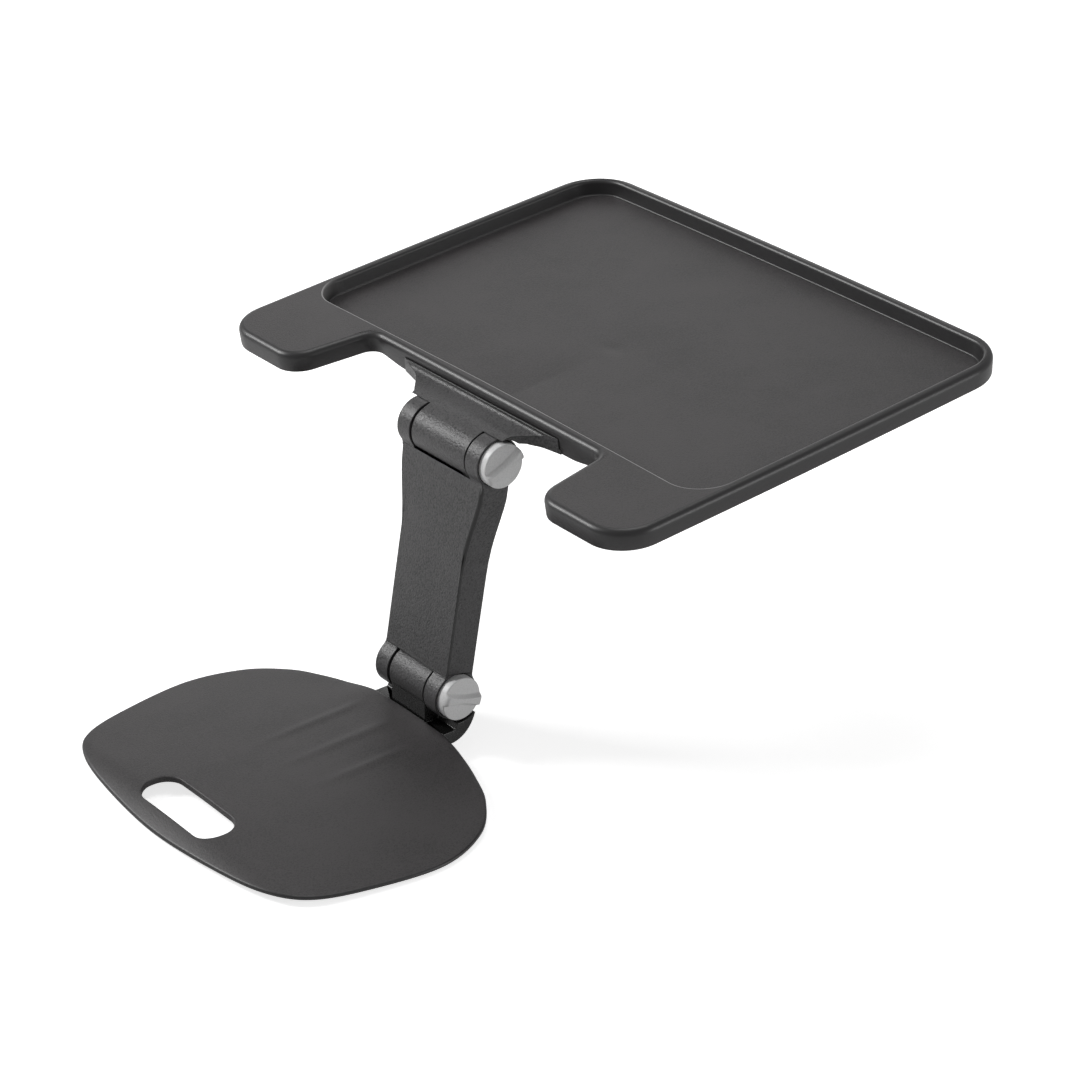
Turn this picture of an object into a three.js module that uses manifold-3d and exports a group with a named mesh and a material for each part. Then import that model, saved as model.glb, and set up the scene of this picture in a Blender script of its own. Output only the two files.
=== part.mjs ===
// Lap desk: a tray on a folding arm, held down by a thin paddle that the sitter's weight rests on.
// Millimetres, +X to the sitter's right, +Y away from the sitter, +Z up.
// The origin lies under the paddle's middle rib, on the seat that the paddle lies on.
import * as THREE from 'three';
import { mergeVertices } from 'three/addons/utils/BufferGeometryUtils.js';
import Module from 'manifold-3d';

const wasm = await Module();
wasm.setup();

// Fits shared by all pieces
const GAP = 0.3;
const ROUND = 32;
const ROUND_LARGE = 44;
const REACH = 40;

// Where the lower hinge stands over the seat, and how the arm and the tray are set
const LOWER_AXIS_Y = 74;
const LOWER_AXIS_Z = 41;
const ARM_LENGTH = 176;
const ARM_LEAN = THREE.MathUtils.degToRad(10);
const TRAY_PITCH = THREE.MathUtils.degToRad(5.2);

// Tray, measured from the upper hinge axis
const TRAY_HALF_WIDTH = 221;
const TRAY_SIDE_BOW = 1.5;
const TRAY_FRONT = -40;
const TRAY_FAR = 312.6;
const TRAY_FAR_BOW = 2.4;
const TRAY_TOP = 29.2;
const TRAY_HEIGHT = 14.6;
const TRAY_FAR_CORNER = 38;
const LOBE_OUTER_CORNER = 30;
const LOBE_INNER_CORNER = 21;
const NOTCH_BACK = 25.2;
const NOTCH_BACK_HALF = 126;
const NOTCH_FRONT_HALF = 136;
const NOTCH_CORNER = 11;
const NOTCH_WALL_DROP = 2.1;
const NOTCH_WALL_END = 115;
const BOW_RADIUS = 5000;
const EDGE_ROLL = 5;
const RIM = 8.5;
const RECESS_DEPTH = 11.6;
const RECESS_FRONT = 31;
const RECESS_FRONT_BOW = 4;
const RECESS_CORNER = 26;
const FLOOR_THICK = 2.6;
const SKIRT_WALL = 2.6;
const TRAY_BOTTOM = TRAY_TOP - TRAY_HEIGHT;
const FLOOR_TOP = TRAY_TOP - RECESS_DEPTH;
const FLOOR_UNDER = FLOOR_TOP - FLOOR_THICK;

// Hinge sizes: the ears are on the arm, the barrels on the tray bracket and on the seat cradle
const EAR_RADIUS = 17.8;
const BARREL_RADIUS = 17.2;
const SADDLE_RADIUS = 18.9;
const EAR_WIDTH = 14;
const UPPER_EAR_INNER = 31;
const LOWER_EAR_INNER = 21;
const WASHER_THICK = 1.2;
const WASHER_RADIUS = 15;
const BOLT_RADIUS = 3.9;
const BOLT_HOLE = 4.3;
const SLEEVE_RADIUS = 6;
const HEX_RADIUS = 6.7;
const HEX_POCKET = 7.2;
const HEAD_THICK = 4.4;
const NUT_THICK = 6;
const KNOB_RADIUS = 16;
const KNOB_DISC = 7.4;
const KNOB_RECESS = 1.2;
const KNOB_BAR_HEIGHT = 4;
const KNOB_BAR_END = 9;
const KNOB_BAR_WAIST = 5.5;
const LOWER_BAR_TURN = THREE.MathUtils.degToRad(-17);
const UPPER_BAR_TURN = THREE.MathUtils.degToRad(27);
const CAP_RADIUS = 10;
const CAP_THICK = 1.4;

// Arm, measured from the lower hinge axis along the arm
const ARM_FRONT = -10.9;
const ARM_REAR = 12.3;
const ARM_HALF_WIDTH = LOWER_EAR_INNER + EAR_WIDTH;
const ARM_TOP_HALF = UPPER_EAR_INNER + EAR_WIDTH;
const ARM_FLARE_START = 88;
const ARM_FLARE_END = 153;
const ARM_FLARE_EASE = 30;
const ARM_FLARE_CLOSE = 15;
const ARM_FILLET = 7;
const ARM_WALL = 3;
const COVER_THICK = 2.6;
const COVER_LEDGE = 1.6;
const CAVITY_BOTTOM = 23;
const CAVITY_TOP = 154;

// Tray bracket, measured from the upper hinge axis
const WEB_TOP = 18.8;
const WEB_UNDER = 12.2;
const WEB_START = 6;
const WEB_FRONT = 1;
const LIP_TOP = 22.4;
const LIP_THICK = 1.4;
const FLANGE_UNDER = 10.8;
const FLANGE_END = 116;
const FLANGE_HALF = 99;
const FLANGE_END_HALF = 52;
const WEB_HALF = 50;
const WEB_LIP_START = 13;
const WEB_LIP_DIP = 0.6;
const WEB_BELLY = 24;
const RIGHT_FLARE = 82;
const RIGHT_FLARE_BEND = [63, 21.8, 20];
const RIGHT_FLARE_START = 12;
const LEFT_FLARE = 91;
const LEFT_FLARE_BEND = [-70, 19.6, 22];
const LEFT_FLARE_START = 2.5;
const FLARE_END = 7;
const BRACKET_SCREWS = [[66, 46], [58, 78], [34, 106]];

// Seat paddle and cradle
const PADDLE_THICK = 3;
const PADDLE_RIM_Z = 4.1;
const PADDLE_CROWN_Z = 15.2;
const CROWN_POWER = 1.83;
const PADDLE_SLOPE = 0.018;
const PADDLE_HALF = 155;
const PADDLE_FRONT = 58;
const PADDLE_CENTRE = -45;
const FRONT_RISE = 4.2;
const FRONT_RISE_START = 22;
const FRONT_RISE_HALF = 34;
const FRONT_RISE_FADE = 36;
const TAIL_START = -128;
const TAIL_LENGTH = 24;
const TAIL_DROP = 6.5;
const TAIL_END = -154.5;
const SLOT_LENGTH = 87;
const SLOT_WIDTH = 30;
const SLOT_CENTRE = -126;
const SLOT_RIM = 2;
const SLOT_RIM_DEPTH = 4.5;
const SLOT_CORNER = 14;
const RIB_SPACING = 35;
const RIB_WIDTH = 6;
const RIB_FRONT = 20;
const RIB_END = -75;
const CRADLE_HALF = 40;
const CRADLE_INNER = 19.2;
const TROUGH_TIP = THREE.MathUtils.degToRad(-51);
const TROUGH_HEEL = THREE.MathUtils.degToRad(-97);
const TROUGH_STEP = -4.5;
const TROUGH_FLOOR = -23.5;
const NECK_ANGLE = THREE.MathUtils.degToRad(27);
const NECK_BACK = 7;
const TONGUE_TOP = 11.2;
const TONGUE_THICK = 3.6;
const TONGUE_END = 26;
const CRADLE_SCREWS = [[30, 50], [18, 36]];

// Self-tapping screws
const SCREW_RADIUS = 1.4;
const SCREW_HOLE = 1.75;
const SCREW_HEAD = 5.4;
const SCREW_HEAD_THICK = 2.2;
const HOLE_COVER = 1.1;
const SCREW_COVER = 1.4;
const BOSS_RADIUS = 4;
const ARM_SCREW_END = -2;
const ARM_SCREW_HEAD = 3.2;
const ARM_SCREW_HEAD_THICK = 1.4;
const DRIVE_SLOT = 1;
const DRIVE_DEPTH = 0.7;
const ARM_SCREWS = [[24, 36], [27, 140]];

// Moulded plastics and steel
const blackPlastic = new THREE.MeshStandardMaterial({ color: 0x4a4a4a, roughness: 0.55, metalness: 0 });
const greyPlastic = new THREE.MeshStandardMaterial({ color: 0x9a9a9a, roughness: 0.45, metalness: 0 });
const steel = new THREE.MeshStandardMaterial({ color: 0xb8bcc0, roughness: 0.35, metalness: 1 });
const fibre = new THREE.MeshStandardMaterial({ color: 0x2e2c2a, roughness: 0.85, metalness: 0 });

// A closed geometry as a solid that can be joined and cut
function solid(geometry) {
  const bare = geometry.index ? geometry.toNonIndexed() : geometry.clone();
  bare.deleteAttribute('normal');
  bare.deleteAttribute('uv');
  const merged = mergeVertices(bare, 1e-4);
  const corners = merged.index.array;
  const kept = [];
  for (let i = 0; i < corners.length; i += 3) {
    const [a, b, c] = [corners[i], corners[i + 1], corners[i + 2]];
    if (a !== b && b !== c && c !== a) kept.push(a, b, c);
  }
  const vertProperties = new Float32Array(merged.attributes.position.array);
  return new wasm.Manifold(new wasm.Mesh({ numProp: 3, vertProperties, triVerts: new Uint32Array(kept) }));
}

// A named piece from a solid
function piece(name, body, material) {
  const mesh = body.getMesh();
  const geometry = new THREE.BufferGeometry();
  geometry.setAttribute('position', new THREE.BufferAttribute(new Float32Array(mesh.vertProperties), 3));
  geometry.setIndex(new THREE.BufferAttribute(new Uint32Array(mesh.triVerts), 1));
  geometry.computeVertexNormals();
  const node = new THREE.Mesh(geometry, material);
  node.name = name;
  return node;
}

// An outline of corners [x, y, radius], each rounded by an arc that touches both sides
function roundedShape(corners) {
  const shape = new THREE.Shape();
  const count = corners.length;
  corners.forEach(([x, y, radius], i) => {
    const here = new THREE.Vector2(x, y);
    const before = new THREE.Vector2(...corners[(i + count - 1) % count].slice(0, 2)).sub(here).normalize();
    const after = new THREE.Vector2(...corners[(i + 1) % count].slice(0, 2)).sub(here).normalize();
    const half = Math.acos(THREE.MathUtils.clamp(before.dot(after), -1, 1)) / 2;
    const first = before.clone().multiplyScalar(radius / Math.tan(half)).add(here);
    const last = after.clone().multiplyScalar(radius / Math.tan(half)).add(here);
    const centre = before.clone().add(after).normalize().multiplyScalar(radius / Math.sin(half)).add(here);
    if (i === 0) shape.moveTo(first.x, first.y);
    else shape.lineTo(first.x, first.y);
    const start = Math.atan2(first.y - centre.y, first.x - centre.x);
    const end = Math.atan2(last.y - centre.y, last.x - centre.x);
    shape.absarc(centre.x, centre.y, radius, start, end, before.cross(after) > 0);
  });
  shape.closePath();
  return shape;
}

// Mirrors the right half of an outline, listed from the front middle to the far middle
function mirrored(right) {
  const left = right.filter(([x]) => x > 0).map(([x, y, r]) => [-x, y, r]).reverse();
  return [...right, ...left];
}

// An outline in X and Y carried up along Z from low to high
function upright(shape, low, high, segments = 5) {
  const geometry = new THREE.ExtrudeGeometry(shape, {
    depth: high - low, bevelEnabled: false, curveSegments: segments,
  });
  return solid(geometry.translate(0, 0, low));
}

// An outline in Y and Z carried along X between two distances
function sideways(shape, low, high, segments = 8) {
  const geometry = new THREE.ExtrudeGeometry(shape, {
    depth: high - low, bevelEnabled: false, curveSegments: segments,
  });
  const turn = new THREE.Matrix4().makeBasis(
    new THREE.Vector3(0, 1, 0), new THREE.Vector3(0, 0, 1), new THREE.Vector3(1, 0, 0));
  return solid(geometry.applyMatrix4(turn).translate(low, 0, 0));
}

// An outline in X and Z carried along Y between two distances
function frontways(shape, low, high, segments = 8) {
  const geometry = new THREE.ExtrudeGeometry(shape, {
    depth: high - low, bevelEnabled: false, curveSegments: segments,
  });
  const turn = new THREE.Matrix4().makeBasis(
    new THREE.Vector3(1, 0, 0), new THREE.Vector3(0, 0, 1), new THREE.Vector3(0, -1, 0));
  return solid(geometry.applyMatrix4(turn).translate(0, high, 0));
}

// A round bar along X, with six sides for a hexagon
function rod(radius, low, high, sides = ROUND, y = 0, z = 0) {
  const bar = new THREE.CylinderGeometry(radius, radius, high - low, sides);
  return solid(bar.rotateZ(Math.PI / 2).translate((low + high) / 2, y, z));
}

// A round post along Z
function post(radius, low, high, x, y, sides = 14) {
  const bar = new THREE.CylinderGeometry(radius, radius, high - low, sides);
  return solid(bar.rotateX(Math.PI / 2).translate(x, y, (low + high) / 2));
}

// A round post along Y
function stud(radius, low, high, x, z, sides = 14) {
  const bar = new THREE.CylinderGeometry(radius, radius, high - low, sides);
  return solid(bar.translate(x, (low + high) / 2, z));
}

// A plain block between two corners
function block(x0, x1, y0, y1, z0, z1) {
  const box = new THREE.BoxGeometry(x1 - x0, y1 - y0, z1 - z0);
  return solid(box.translate((x0 + x1) / 2, (y0 + y1) / 2, (z0 + z1) / 2));
}

// The four mirrored places of a list of [x, other] pairs
function bothSides(pairs) {
  return pairs.flatMap(([x, other]) => [[-x, other], [x, other]]);
}

// Tray: a flat moulding with a sunk floor, two lobes and a belly notch between them
function trayOutline(inset) {
  const half = TRAY_HALF_WIDTH - inset;
  const middle = (TRAY_FRONT + TRAY_FAR) / 2;
  return roundedShape(mirrored([
    [NOTCH_BACK_HALF + inset, NOTCH_BACK + inset, NOTCH_CORNER + inset],
    [NOTCH_FRONT_HALF + inset, TRAY_FRONT + inset, LOBE_INNER_CORNER - inset],
    [half, TRAY_FRONT + inset, LOBE_OUTER_CORNER - inset],
    [half + TRAY_SIDE_BOW, middle, BOW_RADIUS],
    [half, TRAY_FAR - inset, TRAY_FAR_CORNER - inset],
    [0, TRAY_FAR + TRAY_FAR_BOW - inset, BOW_RADIUS],
  ]));
}

function recessOutline(outset) {
  const half = TRAY_HALF_WIDTH - RIM + outset;
  const middle = (TRAY_FRONT + TRAY_FAR) / 2;
  return roundedShape(mirrored([
    [0, RECESS_FRONT + RECESS_FRONT_BOW - outset, BOW_RADIUS],
    [half, RECESS_FRONT - outset, RECESS_CORNER + outset],
    [half + TRAY_SIDE_BOW, middle, BOW_RADIUS],
    [half, TRAY_FAR - RIM + outset, RECESS_CORNER + outset],
    [0, TRAY_FAR + TRAY_FAR_BOW - RIM + outset, BOW_RADIUS],
  ]));
}

function makeTray() {
  const rolled = new THREE.ExtrudeGeometry(trayOutline(0), {
    depth: TRAY_HEIGHT, bevelThickness: EDGE_ROLL, bevelSize: EDGE_ROLL, bevelOffset: -EDGE_ROLL,
    bevelSegments: 3, curveSegments: 5,
  });
  let body = solid(rolled.translate(0, 0, TRAY_BOTTOM - EDGE_ROLL));
  const reach = 2 * TRAY_FAR;
  body = body.subtract(block(-reach, reach, -reach, reach, TRAY_BOTTOM - 3 * EDGE_ROLL, TRAY_BOTTOM));
  body = body.subtract(upright(recessOutline(0), FLOOR_TOP, TRAY_TOP + 1));
  const hollow = trayOutline(SKIRT_WALL);
  hollow.holes.push(recessOutline(SKIRT_WALL));
  body = body.subtract(upright(hollow, TRAY_BOTTOM - 1, TRAY_TOP - FLOOR_THICK));
  body = body.subtract(upright(recessOutline(0), TRAY_BOTTOM - 1, FLOOR_UNDER));
  const wallBack = NOTCH_BACK + SKIRT_WALL;
  const wallBottom = TRAY_BOTTOM - NOTCH_WALL_DROP;
  for (const [low, high] of [[-NOTCH_WALL_END, -LEFT_FLARE - GAP], [RIGHT_FLARE + GAP, NOTCH_WALL_END]]) {
    body = body.add(block(low, high, NOTCH_BACK, wallBack, wallBottom, TRAY_BOTTOM + 1));
  }
  for (const [x, y] of bothSides(BRACKET_SCREWS)) {
    body = body.add(post(BOSS_RADIUS, FLANGE_UNDER + GAP, FLOOR_UNDER + 1, x, y));
    body = body.subtract(post(SCREW_HOLE, FLANGE_UNDER - 1, FLOOR_TOP - HOLE_COVER, x, y, 10));
  }
  return piece('tray', body, blackPlastic);
}

// Bracket: a barrel, a web that sweeps back from it, and a flange screwed under the tray
function makeBracket() {
  const startHeight = Math.sqrt(BARREL_RADIUS ** 2 - WEB_START ** 2);
  const leadIn = (WEB_TOP - startHeight) * startHeight / WEB_START;
  const lipBack = NOTCH_BACK - GAP;
  const lipFoot = WEB_TOP - WEB_LIP_DIP;
  const sweep = new THREE.Shape();
  sweep.moveTo(-WEB_START, WEB_UNDER);
  sweep.lineTo(-WEB_START, startHeight);
  sweep.quadraticCurveTo(leadIn - WEB_START, WEB_TOP, WEB_START + 2, WEB_TOP);
  sweep.lineTo(WEB_LIP_START, lipFoot);
  sweep.quadraticCurveTo(lipBack - LIP_THICK, lipFoot, lipBack - LIP_THICK, LIP_TOP);
  sweep.lineTo(lipBack, LIP_TOP);
  sweep.lineTo(lipBack, TRAY_BOTTOM - GAP);
  sweep.lineTo(FLANGE_END, TRAY_BOTTOM - GAP);
  sweep.lineTo(FLANGE_END, FLANGE_UNDER);
  sweep.lineTo(WEB_BELLY, FLANGE_UNDER);
  sweep.quadraticCurveTo(WEB_BELLY - 4, FLANGE_UNDER, WEB_BELLY - 7, WEB_UNDER);
  sweep.closePath();
  const rightFlare = [
    [WEB_HALF, -REACH, 2],
    [WEB_HALF, RIGHT_FLARE_START, 10],
    RIGHT_FLARE_BEND,
    [RIGHT_FLARE, NOTCH_BACK - 0.1, 0.5],
    [RIGHT_FLARE, NOTCH_BACK + FLARE_END, 2],
  ];
  const leftFlare = [
    [-LEFT_FLARE, NOTCH_BACK + FLARE_END, 2],
    [-LEFT_FLARE, NOTCH_BACK - 0.1, 0.5],
    LEFT_FLARE_BEND,
    [-WEB_HALF, LEFT_FLARE_START, 8],
    [-WEB_HALF, -REACH, 2],
  ];
  const flange = mirrored([
    [FLANGE_HALF, NOTCH_BACK + FLARE_END + 2, 4],
    [FLANGE_HALF - 8, NOTCH_BACK + 22, 12],
    [FLANGE_END_HALF, FLANGE_END, 18],
  ]);
  const plan = roundedShape([...rightFlare, ...flange, ...leftFlare]);
  let body = sideways(sweep, -FLANGE_HALF - 5, FLANGE_HALF + 5).intersect(upright(plan, -REACH, REACH, 8));
  const earInner = UPPER_EAR_INNER - WASHER_THICK - GAP;
  const knobEnd = ARM_TOP_HALF + KNOB_DISC + KNOB_BAR_HEIGHT;
  for (const side of [-1, 1]) {
    const low = Math.min(side * earInner, side * knobEnd);
    const high = Math.max(side * earInner, side * knobEnd);
    body = body.subtract(block(low, high, -REACH, WEB_FRONT, -REACH, REACH));
    body = body.subtract(rod(EAR_RADIUS + GAP + 0.1, low, high, ROUND_LARGE));
  }
  body = body.add(rod(BARREL_RADIUS, -earInner, earInner, ROUND_LARGE));
  body = body.subtract(rod(SLEEVE_RADIUS + GAP, -ARM_TOP_HALF, ARM_TOP_HALF, 28));
  for (const [x, y] of bothSides(BRACKET_SCREWS)) {
    body = body.subtract(post(BOSS_RADIUS + GAP, 0, TRAY_BOTTOM + 1, x, y));
  }
  return piece('tray_bracket', body, blackPlastic);
}

// A pan-head screw along Z, with its head below
function panScrew(name, x, y, under, top) {
  const face = under - SCREW_HEAD_THICK - GAP;
  const head = post(SCREW_HEAD, face, under - GAP, x, y, 12);
  const slot = block(x - 3, x + 3, y - DRIVE_SLOT / 2, y + DRIVE_SLOT / 2, face - 1, face + DRIVE_DEPTH);
  const shank = post(SCREW_RADIUS, under - GAP - 0.1, top, x, y, 10);
  return piece(name, head.subtract(slot).add(shank), steel);
}

// Arm shell: front and sides in one moulding, with an ear at each corner
function armSide() {
  const reach = Math.sqrt((EAR_RADIUS + ARM_FILLET) ** 2 - (ARM_FILLET - ARM_FRONT) ** 2);
  const rearReach = Math.sqrt((EAR_RADIUS + ARM_FILLET) ** 2 - (ARM_FILLET + ARM_REAR) ** 2);
  const front = Math.atan2(reach, ARM_FRONT - ARM_FILLET);
  const rear = Math.atan2(rearReach, ARM_REAR + ARM_FILLET);
  const shape = new THREE.Shape();
  shape.absarc(0, 0, EAR_RADIUS, front, rear, false);
  shape.absarc(ARM_REAR + ARM_FILLET, rearReach, ARM_FILLET, rear + Math.PI, Math.PI, true);
  shape.absarc(ARM_REAR + ARM_FILLET, ARM_LENGTH - rearReach, ARM_FILLET, Math.PI, Math.PI - rear, true);
  shape.absarc(0, ARM_LENGTH, EAR_RADIUS, -rear, 2 * Math.PI - front, false);
  shape.absarc(ARM_FRONT - ARM_FILLET, ARM_LENGTH - reach, ARM_FILLET, Math.PI - front, 0, true);
  shape.absarc(ARM_FRONT - ARM_FILLET, reach, ARM_FILLET, 0, front - Math.PI, true);
  return shape;
}

// Front view of the arm, straight below and flared to the wider upper hinge
function armFront(inset, bottom, top) {
  const half = ARM_HALF_WIDTH - inset;
  const wide = ARM_TOP_HALF - inset;
  const low = ARM_FLARE_START + ARM_FLARE_EASE;
  const high = ARM_FLARE_END - ARM_FLARE_CLOSE;
  const shape = new THREE.Shape();
  shape.moveTo(-half, bottom);
  shape.lineTo(half, bottom);
  shape.lineTo(half, ARM_FLARE_START);
  shape.bezierCurveTo(half, low, wide, high, wide, ARM_FLARE_END);
  shape.lineTo(wide, top);
  shape.lineTo(-wide, top);
  shape.lineTo(-wide, ARM_FLARE_END);
  shape.bezierCurveTo(-wide, high, -half, low, -half, ARM_FLARE_START);
  shape.closePath();
  return shape;
}

function makeArmShell() {
  const top = ARM_LENGTH + EAR_RADIUS;
  let body = sideways(armSide(), -ARM_TOP_HALF, ARM_TOP_HALF, 18);
  body = body.intersect(frontways(armFront(0, -EAR_RADIUS - 1, top + 1), -REACH, REACH));
  const cavity = armFront(ARM_WALL + COVER_LEDGE, CAVITY_BOTTOM, CAVITY_TOP);
  const rebate = armFront(ARM_WALL, CAVITY_BOTTOM - COVER_LEDGE, CAVITY_TOP + COVER_LEDGE);
  body = body.subtract(frontways(cavity, ARM_FRONT + ARM_WALL, REACH));
  body = body.subtract(frontways(rebate, ARM_REAR - COVER_THICK - 2 * GAP, REACH));
  for (const [x, z] of bothSides(ARM_SCREWS)) {
    const boss = stud(BOSS_RADIUS, ARM_FRONT + 1, ARM_REAR - COVER_THICK - 2 * GAP, x, z);
    body = body.add(boss.subtract(stud(SCREW_HOLE, ARM_SCREW_END - 2, ARM_REAR, x, z, 12)));
  }
  const hinges = [[0, LOWER_EAR_INNER, -1], [ARM_LENGTH, UPPER_EAR_INNER, 1]];
  for (const [z, inner, outward] of hinges) {
    const outer = inner + EAR_WIDTH;
    body = body.subtract(rod(SADDLE_RADIUS, -inner, inner, ROUND_LARGE, 0, z));
    const far = z + outward * 2 * EAR_RADIUS;
    body = body.subtract(block(-inner, inner, -REACH, REACH, Math.min(z, far), Math.max(z, far)));
    body = body.subtract(rod(BOLT_HOLE, -outer - 1, outer + 1, 24, 0, z));
    body = body.subtract(rod(KNOB_RADIUS + 0.4, outer - KNOB_RECESS, outer + 1, ROUND, 0, z));
    body = body.subtract(rod(HEX_POCKET, -outer - 1, -outer + CAP_THICK + NUT_THICK + 1, 6, 0, z));
    body = body.subtract(rod(CAP_RADIUS + GAP, -outer - 1, -outer + CAP_THICK, 28, 0, z));
  }
  return piece('arm_shell', body, blackPlastic);
}

function makeArmCover() {
  const inset = ARM_WALL + GAP;
  const outline = armFront(inset, CAVITY_BOTTOM - COVER_LEDGE + GAP, CAVITY_TOP + COVER_LEDGE - GAP);
  let body = frontways(outline, ARM_REAR - COVER_THICK - GAP, ARM_REAR - GAP);
  const headSeat = ARM_REAR - 2 * GAP - ARM_SCREW_HEAD_THICK;
  for (const [x, z] of bothSides(ARM_SCREWS)) {
    body = body.subtract(stud(SCREW_HOLE, -REACH, REACH, x, z, 12));
    body = body.subtract(stud(ARM_SCREW_HEAD + GAP, headSeat, REACH, x, z, 16));
  }
  return piece('arm_rear_cover', body, blackPlastic);
}

// A flat-head screw along Y, with its head to the rear
function coverScrew(name, x, z) {
  const seat = ARM_REAR - GAP - ARM_SCREW_HEAD_THICK;
  const head = stud(ARM_SCREW_HEAD, seat, ARM_REAR - GAP, x, z, 16);
  const bottom = ARM_REAR - GAP - DRIVE_DEPTH;
  const slot = block(x - 2, x + 2, bottom, REACH, z - DRIVE_SLOT / 2, z + DRIVE_SLOT / 2);
  const shank = stud(SCREW_RADIUS, ARM_SCREW_END, seat + 0.1, x, z, 10);
  return piece(name, head.subtract(slot).add(shank), steel);
}

// Clamp knob with a waisted finger bar, moulded over the head of its bolt
function makeKnob(name, outer, barAngle) {
  const back = outer - KNOB_RECESS + GAP;
  const face = back + KNOB_DISC;
  const bar = new THREE.Shape();
  bar.moveTo(-KNOB_RADIUS, -KNOB_BAR_END / 2);
  bar.quadraticCurveTo(0, KNOB_BAR_END / 2 - KNOB_BAR_WAIST, KNOB_RADIUS, -KNOB_BAR_END / 2);
  bar.lineTo(KNOB_RADIUS, KNOB_BAR_END / 2);
  bar.quadraticCurveTo(0, KNOB_BAR_WAIST - KNOB_BAR_END / 2, -KNOB_RADIUS, KNOB_BAR_END / 2);
  bar.closePath();
  const turn = THREE.MathUtils.radToDeg(barAngle);
  const grip = sideways(bar, face - 1, face + KNOB_BAR_HEIGHT, 6).rotate([turn, 0, 0]);
  let body = rod(KNOB_RADIUS, back, face);
  body = body.add(grip.intersect(rod(KNOB_RADIUS - 0.2, back, face + KNOB_BAR_HEIGHT)));
  body = body.subtract(rod(HEX_RADIUS + GAP, back - 1, back + HEAD_THICK + GAP, 6));
  return piece(name, body, greyPlastic);
}

// Clamp bolt: a hexagon head inside the knob and a shank across the hinge to the nut
function makeBolt(name, outer) {
  const head = outer - KNOB_RECESS + GAP;
  const shank = rod(BOLT_RADIUS, -outer + CAP_THICK + GAP, head + 1, 24);
  return piece(name, rod(HEX_RADIUS, head, head + HEAD_THICK, 6).add(shank), steel);
}

// Everything that sits on one hinge axis
function hingeSet(prefix, inner, barAngle) {
  const outer = inner + EAR_WIDTH;
  const sleeveHalf = inner - WASHER_THICK - 3 * GAP;
  const sleeve = rod(SLEEVE_RADIUS, -sleeveHalf, sleeveHalf, 28).subtract(rod(BOLT_HOLE, -outer, outer, 24));
  const nutEnd = -outer + CAP_THICK + GAP;
  const thread = rod(BOLT_RADIUS + GAP, -outer, outer, 24);
  const nut = rod(HEX_RADIUS, nutEnd, nutEnd + NUT_THICK, 6).subtract(thread);
  const cap = rod(CAP_RADIUS, -outer, -outer + CAP_THICK - GAP, 28);
  const washer = (low) => rod(WASHER_RADIUS, low, low + WASHER_THICK, 32)
    .subtract(rod(SLEEVE_RADIUS + GAP, -outer, outer, 24));
  return {
    knob: makeKnob(`${prefix}_knob`, outer, barAngle),
    bolt: makeBolt(`${prefix}_clamp_bolt`, outer),
    sleeve: piece(`${prefix}_sleeve`, sleeve, steel),
    nut: piece(`${prefix}_nut`, nut, steel),
    cap: piece(`${prefix}_nut_cap`, cap, blackPlastic),
    left: piece(`${prefix}_friction_washer_left`, washer(-inner + GAP / 2), fibre),
    right: piece(`${prefix}_friction_washer_right`, washer(inner - WASHER_THICK - GAP / 2), fibre),
  };
}

// Height of the paddle's upper face: crowned across and falling gently to the tail, whose edge rolls down.
// In front it curls up to the hinge.
function paddleTop(x, y) {
  const crown = PADDLE_CROWN_Z + PADDLE_SLOPE * y;
  const across = (crown - PADDLE_RIM_Z) * (Math.abs(x) / PADDLE_HALF) ** CROWN_POWER;
  const tail = TAIL_DROP * (Math.max(TAIL_START - y, 0) / TAIL_LENGTH) ** 2;
  const forward = Math.max(y - FRONT_RISE_START, 0) / (PADDLE_FRONT - FRONT_RISE_START);
  const aside = THREE.MathUtils.smoothstep(Math.abs(x), FRONT_RISE_HALF, FRONT_RISE_HALF + FRONT_RISE_FADE);
  return crown - across - tail + FRONT_RISE * forward ** 2 * (1 - aside);
}

function paddleOutline() {
  const right = [
    [42, PADDLE_FRONT], [63, 56.4], [90.5, 48.5], [115.5, 37.5], [140.5, 14], [PADDLE_HALF - 1, -27],
    [146.7, -83], [133.8, -120.7], [111, -139], [66.6, -149.2],
  ];
  const front = [[22, PADDLE_FRONT], [-22, PADDLE_FRONT]];
  const left = right.map(([x, y]) => [-x, y]);
  const points = [...right, [0, TAIL_END], ...left.reverse(), ...front.reverse()];
  return new THREE.CatmullRomCurve3(points.map(([x, y]) => new THREE.Vector3(x, y, 0)), true);
}

// A plate over the paddle's outline, of an even thickness below the upper face
function paddlePlate(thick) {
  const around = 60;
  const rings = [0, 0.3, 0.6, 0.8, 0.93, 1];
  const under = rings.map((r) => new THREE.Vector2(r, 0));
  const over = rings.map((r) => new THREE.Vector2(r, 1)).reverse();
  const disc = new THREE.LatheGeometry([...under, ...over], around);
  const edge = paddleOutline().getPoints(around);
  const place = disc.attributes.position;
  for (let i = 0; i < place.count; i += 1) {
    const radius = Math.hypot(place.getX(i), place.getZ(i));
    const turn = Math.atan2(place.getX(i), place.getZ(i)) / (2 * Math.PI);
    const rim = edge[Math.round((1 - turn) * around) % around];
    const x = rim.x * radius;
    const y = PADDLE_CENTRE + (rim.y - PADDLE_CENTRE) * radius;
    place.setXYZ(i, x, y, paddleTop(x, y) - thick * (1 - place.getY(i)));
  }
  return solid(disc);
}

function slotOutline(outset) {
  const x = SLOT_LENGTH / 2 + outset;
  const y = SLOT_WIDTH / 2 + outset;
  const corners = [[x, -y], [x, y], [-x, y], [-x, -y]];
  return roundedShape(corners.map(([a, b]) => [a, SLOT_CENTRE + b, SLOT_CORNER + outset]));
}

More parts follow.
